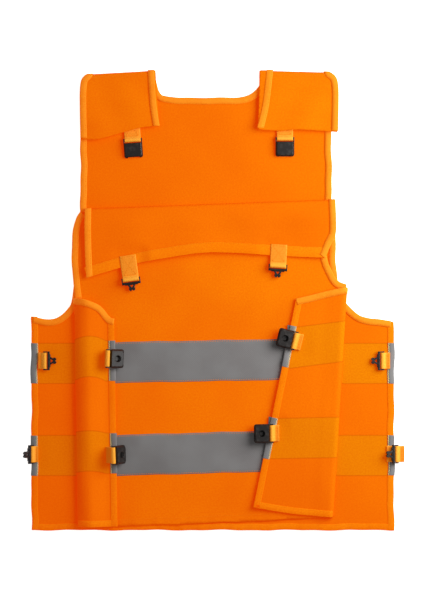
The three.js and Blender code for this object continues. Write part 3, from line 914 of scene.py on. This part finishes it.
# ---- the folded sides of the front panel ----
def build_wing(side, rows, bands, tapes, relief):
    node = f"{side}_wing"
    sheet = Folded(f"{side}_wing_fold", fold_profile(front_z, flap_z, 1.1 * MM, rows), relief)
    moves = ["front_panel", node, *front_blend]
    names = [f"{node}_armhole_binding"]
    cloth = Cloth(node, sheet, moves, banded_knit, 3.5 * MM, band_rule(bands), names)
    cloth.bind()
    free, bottom = cloth.free_edges()[:2]
    cloth.hem(f"{node}_edge_hem", free)
    cloth.hem(f"{node}_bottom_hem", bottom)
    for band, (middle, half) in tapes.items():
        tape = f"{node}_tape_{band}"
        turned = cloth.turn_tape(f"{tape}_end", free, middle - half, middle + half, tape)
        centre = (turned[0] + turned[-1]) / 2
        path = evenly(np.array([centre, (centre[0], STRIP_START)]), 4 * MM)
        under = -CLOTH / 2 - 0.4 * MM
        reach = np.linalg.norm(turned[-1] - turned[0]) / 2
        section = flat_section(-reach, reach, under, under + TAPE, 9)
        cloth.sew_tape(f"{tape}_strip", path, section)
    cloth.done()


def build_wings():
    fold_x = joints["left_wing_fold"]["pos_m"][0] + HINGE_OUT

    def left_arch(height):
        return lambda x: height * np.clip(1 - ((x - fold_x - 20 * MM) / (24 * MM)) ** 2, 0, 1)

    spans = {band: tape_span(f"left_wing_tape_{band}") for band in BANDS}
    bands = [(*spans["upper"], 0, 0, left_arch(7 * MM)), (*spans["lower"], 0, 0, left_arch(4 * MM))]

    def left_relief(x, y, d):
        wave = waves(x, y, (0.8, 210, 85, 0.0), (0.5, 95, 60, 1.0))
        return calm(x, y, ["left_wing_upper_tab", "left_wing_lower_tab"]) * (0.9 * MM + wave)

    broad = [(-0.4, 3.8), (2.5, 7.4), (9, 11.8), (19, 13.6), (30, 10.5)]
    build_wing("left", broad, bands, spans, left_relief)

    low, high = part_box("right_wing_tape_upper")
    middle_x = (low.x + high.x) / 2
    tape_half = 31 * MM
    seen_half = 30.5 * MM
    spans = {band: (tape_span(f"right_wing_tape_{band}")[0], tape_half) for band in BANDS}
    slopes = {"upper": 0.13, "lower": 0.02}
    bands = [(spans[band][0], seen_half, slope, middle_x, level) for band, slope in slopes.items()]

    def right_relief(x, y, d):
        wave = waves(x, y, (0.8, 170, 30, 0.4), (0.6, 100, 100, 0.9))
        return calm(x, y, ["right_wing_upper_tab", "right_wing_lower_tab"]) * (1.0 * MM + wave)

    narrow = [(-0.3, 3.4), (2.2, 5.9), (6.5, 6.8), (13, 6.2)]
    build_wing("right", narrow, bands, spans, right_relief)


# ---- buckle halves and their webbing ----
def buckle_place(name):
    """The buckle's own axes: X from the bar to the mating end, Z up from the cloth."""
    joint = joints[f"{name}_buckle_pivot"]
    origin = Vector(joint["pos_m"])
    across = Vector(joint["axis"])
    heading = across.cross(Vector((0, 0, 1))) * -1
    flat = Matrix((heading, across * -1, Vector((0, 0, 1)))).transposed()
    local = [flat.transposed() @ (v.co - origin) for v in frame["nodes"][f"{name}_buckle"].data.vertices]
    far = max(math.hypot(p.x, p.z) for p in local if abs(p.y) < 8 * MM)
    tips = [p for p in local if math.hypot(p.x, p.z) > far - 0.4 * MM and abs(p.y) < 12 * MM]
    tilt = math.atan2(sum(p.z for p in tips), sum(p.x for p in tips))
    placed = Matrix.Translation(origin) @ flat.to_4x4()
    return placed, placed @ Matrix.Rotation(-tilt, 4, "Y")


def own_points(node, place):
    """A CAD node's corners along a buckle's own axes."""
    back = place.inverted()
    return np.array([back @ v.co for v in frame["nodes"][node].data.vertices])


def own_box(node, place):
    points = own_points(node, place)
    return points.min(0), points.max(0)


def loft(layers):
    """A closed body through outlines with as many points each, as (outline, height)."""
    return tube(np.array([[(x, y, z) for x, y in ring] for ring, z in layers]))


def symmetric(lower):
    """An outline from its half on the side of negative y."""
    return [*lower, *[(x, -y) for x, y in reversed(lower)]]


def disc(centre, radius, sides):
    turns = [2 * math.pi * k / sides for k in range(sides)]
    return [(centre + radius * math.cos(a), radius * math.sin(a)) for a in turns]


def prism(outline_points, low, high, ease=0.5 * MM):
    """A plate with eased edges: rings from a narrower bottom to a narrower top."""
    ring = np.array(outline_points)
    centre = ring.mean(0)
    inner = ring - np.sign(ring - centre) * ease
    return loft([(inner, low), (ring, low + ease), (ring, high - ease), (inner, high)])


def round_bar(start, end, radius, sides=16):
    """A round bar along Y."""
    ease = 0.3 * MM
    stations = [(start, radius - ease), (start + ease, radius), (end - ease, radius), (end, radius - ease)]
    return tube(np.array([[(x, y, z) for x, z in disc(0, r, sides)] for y, r in stations]))


def rounded_box(low, high, ease=0.4 * MM):
    (x0, y0, z0), (x1, y1, z1) = low, high
    return prism([(x0, y0), (x1, y0), (x1, y1), (x0, y1)], z0, z1, ease)


def solid_object(name, parts, material):
    vertices, faces = [], []
    for part_vertices, part_faces in parts:
        first = len(vertices)
        vertices += list(part_vertices)
        faces += [tuple(i + first for i in f) for f in part_faces]
    return mesh_object(name, vertices, faces, material, flat_shaded=True)


def cut_from(piece, tools):
    """Cuts tools out of a piece."""
    for tool in tools:
        cutter = solid_object("cutter", [tool], black_plastic)
        step = piece.modifiers.new("cut", "BOOLEAN")
        step.object = cutter
        step.solver = "EXACT"
        view = bpy.context.evaluated_depsgraph_get()
        made = bpy.data.meshes.new_from_object(piece.evaluated_get(view))
        piece.modifiers.clear()
        piece.data = made
        bpy.data.objects.remove(cutter)
    return piece


def body_outline(start, end, half, corner, steps=5):
    """A rectangle whose two far corners are rounded."""
    turns = [math.pi / 2 * k / steps for k in range(steps + 1)]
    lower = [(end - corner + corner * math.sin(a), -half + corner - corner * math.cos(a)) for a in turns]
    return symmetric([(start, -half), *lower])


def with_bar(body, name, half, lug_end, lug_half, parts):
    """A buckle half from its body, its other parts, the bar and the two lugs that hold the bar."""
    for side in (-1, 1):
        y0, y1 = sorted((side * half, side * (half - LUG)))
        parts.append(rounded_box((-LUG_BACK, y0, -lug_half), (lug_end, y1, lug_half)))
    parts.append(round_bar(-half + 0.6 * MM, half - 0.6 * MM, BAR_RADIUS))
    return joined(body, solid_object(name + "_rest", parts, black_plastic))


def female_half(name, end, half, face):
    """The half with the socket: a bevelled housing, two lugs, the bar, and a round window, which is in
    the upper face where `face` is 1 and in the lower one where it is -1."""
    start, top = BODY_START, FEMALE_HEIGHT / 2
    rings = [
        (1.2, 0.6, -top), (0.3, 0, -top + 0.8 * MM), (0, 0, -top + 2 * MM), (0, 0, top - 3.2 * MM),
        (0.7, 0.3, top - 2.2 * MM), (1.7, 0.7, top - 0.8 * MM), (2.7, 1.2, top),
    ]
    layers = []
    for inset, back, z in rings:
        ring = body_outline(start + back * MM, end - inset * MM, half - inset * MM, 3.5 * MM)
        layers.append((ring, z))
    body = solid_object(name, [loft(layers)], black_plastic)
    socket_half, socket_up = 8.5 * MM, 2.6 * MM
    mouth = rounded_box((start + 3 * MM, -socket_half, -socket_up), (end + 5 * MM, socket_half, socket_up),
                        0.3 * MM)
    centre = (start + end) / 2
    window_rings = [
        (4.6 * MM, 0), (4.6 * MM, top - 0.7 * MM), (5.6 * MM, top + 0.3 * MM), (5.6 * MM, top + 3 * MM),
    ]
    window = loft([(disc(centre, r, 40), face * z) for r, z in window_rings])
    body = cut_from(body, [mouth, window])
    latch_rings = [(4.0 * MM, -3.2 * MM), (4.0 * MM, -1.4 * MM), (3.4 * MM, -0.9 * MM)]
    latch = loft([(disc(centre + 1 * MM, r, 20), face * z) for r, z in latch_rings])
    return with_bar(body, name, half, start + 2 * MM, 2 * MM, [latch])


def joined(first, second):
    build = bmesh.new()
    build.from_mesh(first.data)
    build.from_mesh(second.data)
    build.to_mesh(first.data)
    build.free()
    bpy.data.objects.remove(second)
    return first


def male_half(name, end, half):
    """The half with the prong: a raised cross plate, an arrow with two barbs and a triangle through it."""
    start, thick = BODY_START, MALE_HEIGHT / 2
    shoulder = start + 3.5 * MM
    neck = end - 4.5 * MM
    plate = prism(symmetric([(start, -half), (shoulder, -half)]), -thick, thick + 0.9 * MM, 0.7 * MM)
    rib_side = [(shoulder - 0.6 * MM, -half + 3 * MM), (shoulder + 1.2 * MM, -half + 5 * MM)]
    rib = prism(symmetric(rib_side), -thick * 0.9, thick * 0.9, 0.4 * MM)
    barb_side = [
        (shoulder - 0.5 * MM, -6.5 * MM), (neck, -3.5 * MM), (neck + 0.2 * MM, -4.9 * MM),
        (end - 1.6 * MM, -4.6 * MM), (end, -2.6 * MM), (end - 0.4 * MM, -1.4 * MM),
    ]
    arrow = symmetric(barb_side)
    arrow.insert(len(barb_side), (end - 2 * MM, 0))
    ring = np.array(arrow)
    shrunk = ring * (1, 0.93)
    body = solid_object(name, [loft([
        (shrunk, -thick), (ring, -thick + 0.5 * MM), (ring, thick - 0.5 * MM), (shrunk, thick),
    ])], black_plastic)
    hole = loft([
        ([(shoulder + 1 * MM, -3 * MM), (shoulder + 5.2 * MM, 0), (shoulder + 1 * MM, 3 * MM)], z)
        for z in (-thick - 1 * MM, thick + 1 * MM)
    ])
    body = cut_from(body, [hole])
    return with_bar(body, name, half, start + 1 * MM, thick, [plate, rib])


def soften(piece, width=0.25 * MM):
    """Eases the sharp edges that the cuts leave."""
    step = piece.modifiers.new("ease", "BEVEL")
    step.width = width
    step.segments = 2
    step.limit_method = "ANGLE"
    step.angle_limit = math.radians(40)
    return piece


def strap_line(reach, rise, loop_radius, under):
    """The side view of one strap: sewn end, out to the bar, round it and back to the sewn end.
    Where `under` isn't 0, its sewn end lies under the rest, that far beyond the bar."""
    r = loop_radius - WEBBING / 2
    half = WEBBING / 2 + 0.03 * MM
    near = loop_radius + 2.5 * MM
    flat = [(-reach, -rise - half), (-(reach + near) / 2, -rise - half), (-near, -rise - half)]
    turn = np.radians(np.linspace(-150, 150, 19))
    loop = [(r * math.cos(a), r * math.sin(a)) for a in turn]
    back = [(x, z + 2 * half) for x, z in reversed(flat)]
    start = []
    if under > 0:
        below = -rise - 1.5 * WEBBING
        turn_in = [(-reach + 2 * MM, below), (-reach + 0.7 * MM, below + WEBBING / 2)]
        start = [(under, below), (0, below), *turn_in]
        flat = flat[1:]
    return evenly(smooth(np.array([*start, *flat, *loop, *back]), 3), 0.8 * MM)


def webbing_strap(name, reach, rise, loop_radius, width, under, place):
    """One strap along its `strap_line`, with rounded edges. Its `band` attribute marks where it turns round
    the bar, for the painted highlight there.
    """
    line = strap_line(reach, rise, loop_radius, under)
    out = sideways(line)
    half = width / 2
    across = np.array([-1, -0.9, -0.45, 0, 0.45, 0.9, 1]) * half
    thick = np.array([0.55, 1, 1, 1, 1, 1, 0.55]) * WEBBING / 2
    rings, uv = [], []
    for (x, z), (ox, oz), length in zip(line, out, run_lengths(line)):
        top = [(x + ox * t, y, z + oz * t) for y, t in zip(across, thick)]
        bottom = [(x - ox * t, y, z - oz * t) for y, t in zip(across[::-1], thick)]
        rings.append(top + bottom)
        uv += [(length, y) for y in [*across, *across[::-1]]]
    # How near the bar each point is, for the painted highlight where the strap turns round it.
    from_bar = np.linalg.norm(line, axis=1) - loop_radius
    turn_highlight = np.repeat(np.clip(1 - from_bar / (2.5 * MM), 0, 1), 2 * len(across))
    vertices, faces = tube(np.array(rings))
    piece = mesh_object(name, vertices, faces, webbing_weave, uv, turn_highlight)
    piece.data.transform(place)
    return piece


def tab_seams(name, reach, rise, loop_radius, width, place):
    """Two rows of thread across a tab and, where there is room, two that cross between them."""
    up = -rise + WEBBING + 0.15 * MM
    far, near = -reach + 2 * MM, -loop_radius - 3.4 * MM
    side = width / 2 - 3 * MM
    rows = [((far, -side), (far, side)), ((near, -side), (near, side))]
    if near - far > 8 * MM:
        rows += [((far, -side), (near, side)), ((far, side), (near, -side))]
    lines = [(evenly(np.array(row), STITCH + STITCH_GAP), 0) for row in rows]
    piece = stitched(name, Flat(up, level), lines, orange_thread)
    piece.data.transform(place)
    return piece


def leaning_place(node, flat):
    """The axes of a tab that rises straight from its sewn end to the bar."""
    points = own_points(node, flat)
    reach = np.hypot(points[:, 0], points[:, 2])
    end = points[reach > reach.max() - 0.4 * MM].mean(0)
    return flat @ Matrix.Rotation(-math.atan2(-end[2], -end[0]), 4, "Y")


def build_fastening(name, body, female, face=1, leaning=False):
    flat, tilted = buckle_place(name)
    buckle_node, tab_node = f"{name}_buckle", f"{name}_tab"
    end, half = own_box(buckle_node, tilted)[1][:2]
    moulding = f"{buckle_node}_moulding"
    buckle = soften(female_half(moulding, end, half, face) if female else male_half(moulding, end, half))
    buckle.data.transform(tilted)
    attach(buckle, buckle_node)
    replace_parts(buckle, buckle_node)
    place = leaning_place(tab_node, flat) if leaning else flat
    low, high = own_box(tab_node, place)
    loop_radius, width = high[2], high[1] - low[1]
    under = high[0] if high[0] > loop_radius + 1 * MM else 0
    reach, rise = -low[0], -low[2] - (2 if under else 1) * WEBBING
    strap = webbing_strap(f"{tab_node}_strap", reach, rise, loop_radius, width, under, place)
    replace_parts(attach(strap, body), tab_node)
    seams = tab_seams(f"{tab_node}_seams", reach, rise, loop_radius, width, place)
    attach(seams, body)


def build_fastenings():
    for vertical in BANDS:
        for side in SIDES:
            build_fastening(f"side_{vertical}_{side}", "back_panel", False)
            build_fastening(f"{side}_wing_{vertical}", f"{side}_wing", True, leaning=side == "left")
    for side in SIDES:
        build_fastening(f"{side}_shoulder", f"{side}_shoulder_flap", True, face=-1)
        build_fastening(f"top_flap_{side}", "top_flap", False)


# ---- floor, light and camera ----
def build_stage():
    size = 6.0
    corners = [(-size, -size, 0), (size, -size, 0), (size, size, 0), (-size, size, 0)]
    floor = mesh_object("floor", corners, [(0, 1, 2, 3)], floor_material(), flat_shaded=True)
    floor.location.z = -0.5 * MM


def build_light():
    """Even light from all round, and a soft one from the right that the camera doesn't see."""
    world = bpy.data.worlds.new("studio")
    world.use_nodes = True
    background = world.node_tree.nodes["Background"]
    background.inputs["Color"].default_value = (1, 1, 1, 1)
    background.inputs["Strength"].default_value = 0.34
    bpy.context.scene.world = world
    lamp = bpy.data.lights.new("key", "AREA")
    lamp.size = 0.8
    lamp.energy = 20
    held = bpy.data.objects.new("key", lamp)
    held.location = (0.78, 0.3, 0.66)
    held.rotation_euler = (-held.location).to_track_quat("-Z", "Y").to_euler()
    held.visible_camera = False
    bpy.context.scene.collection.objects.link(held)


def build_camera():
    """Straight down from 3 m, so that 0.9 m fills the picture's height."""
    distance, view_height = 3.0, 0.9
    middle = (cad_low + cad_high) / 2
    data = bpy.data.cameras.new("camera")
    data.sensor_fit = "VERTICAL"
    data.sensor_height = 24
    data.lens = data.sensor_height * distance / view_height
    camera = bpy.data.objects.new("camera", data)
    camera.location = (middle.x - 3 * MM, middle.y + 1 * MM, distance)
    bpy.context.scene.collection.objects.link(camera)
    bpy.context.scene.camera = camera
    bpy.context.scene.view_settings.view_transform = "Standard"


build_camera()
build_stage()
build_light()
build_back()
for shoulder_side in SIDES:
    build_shoulder(shoulder_side)
build_front()
build_top_flap()
build_wings()
build_fastenings()
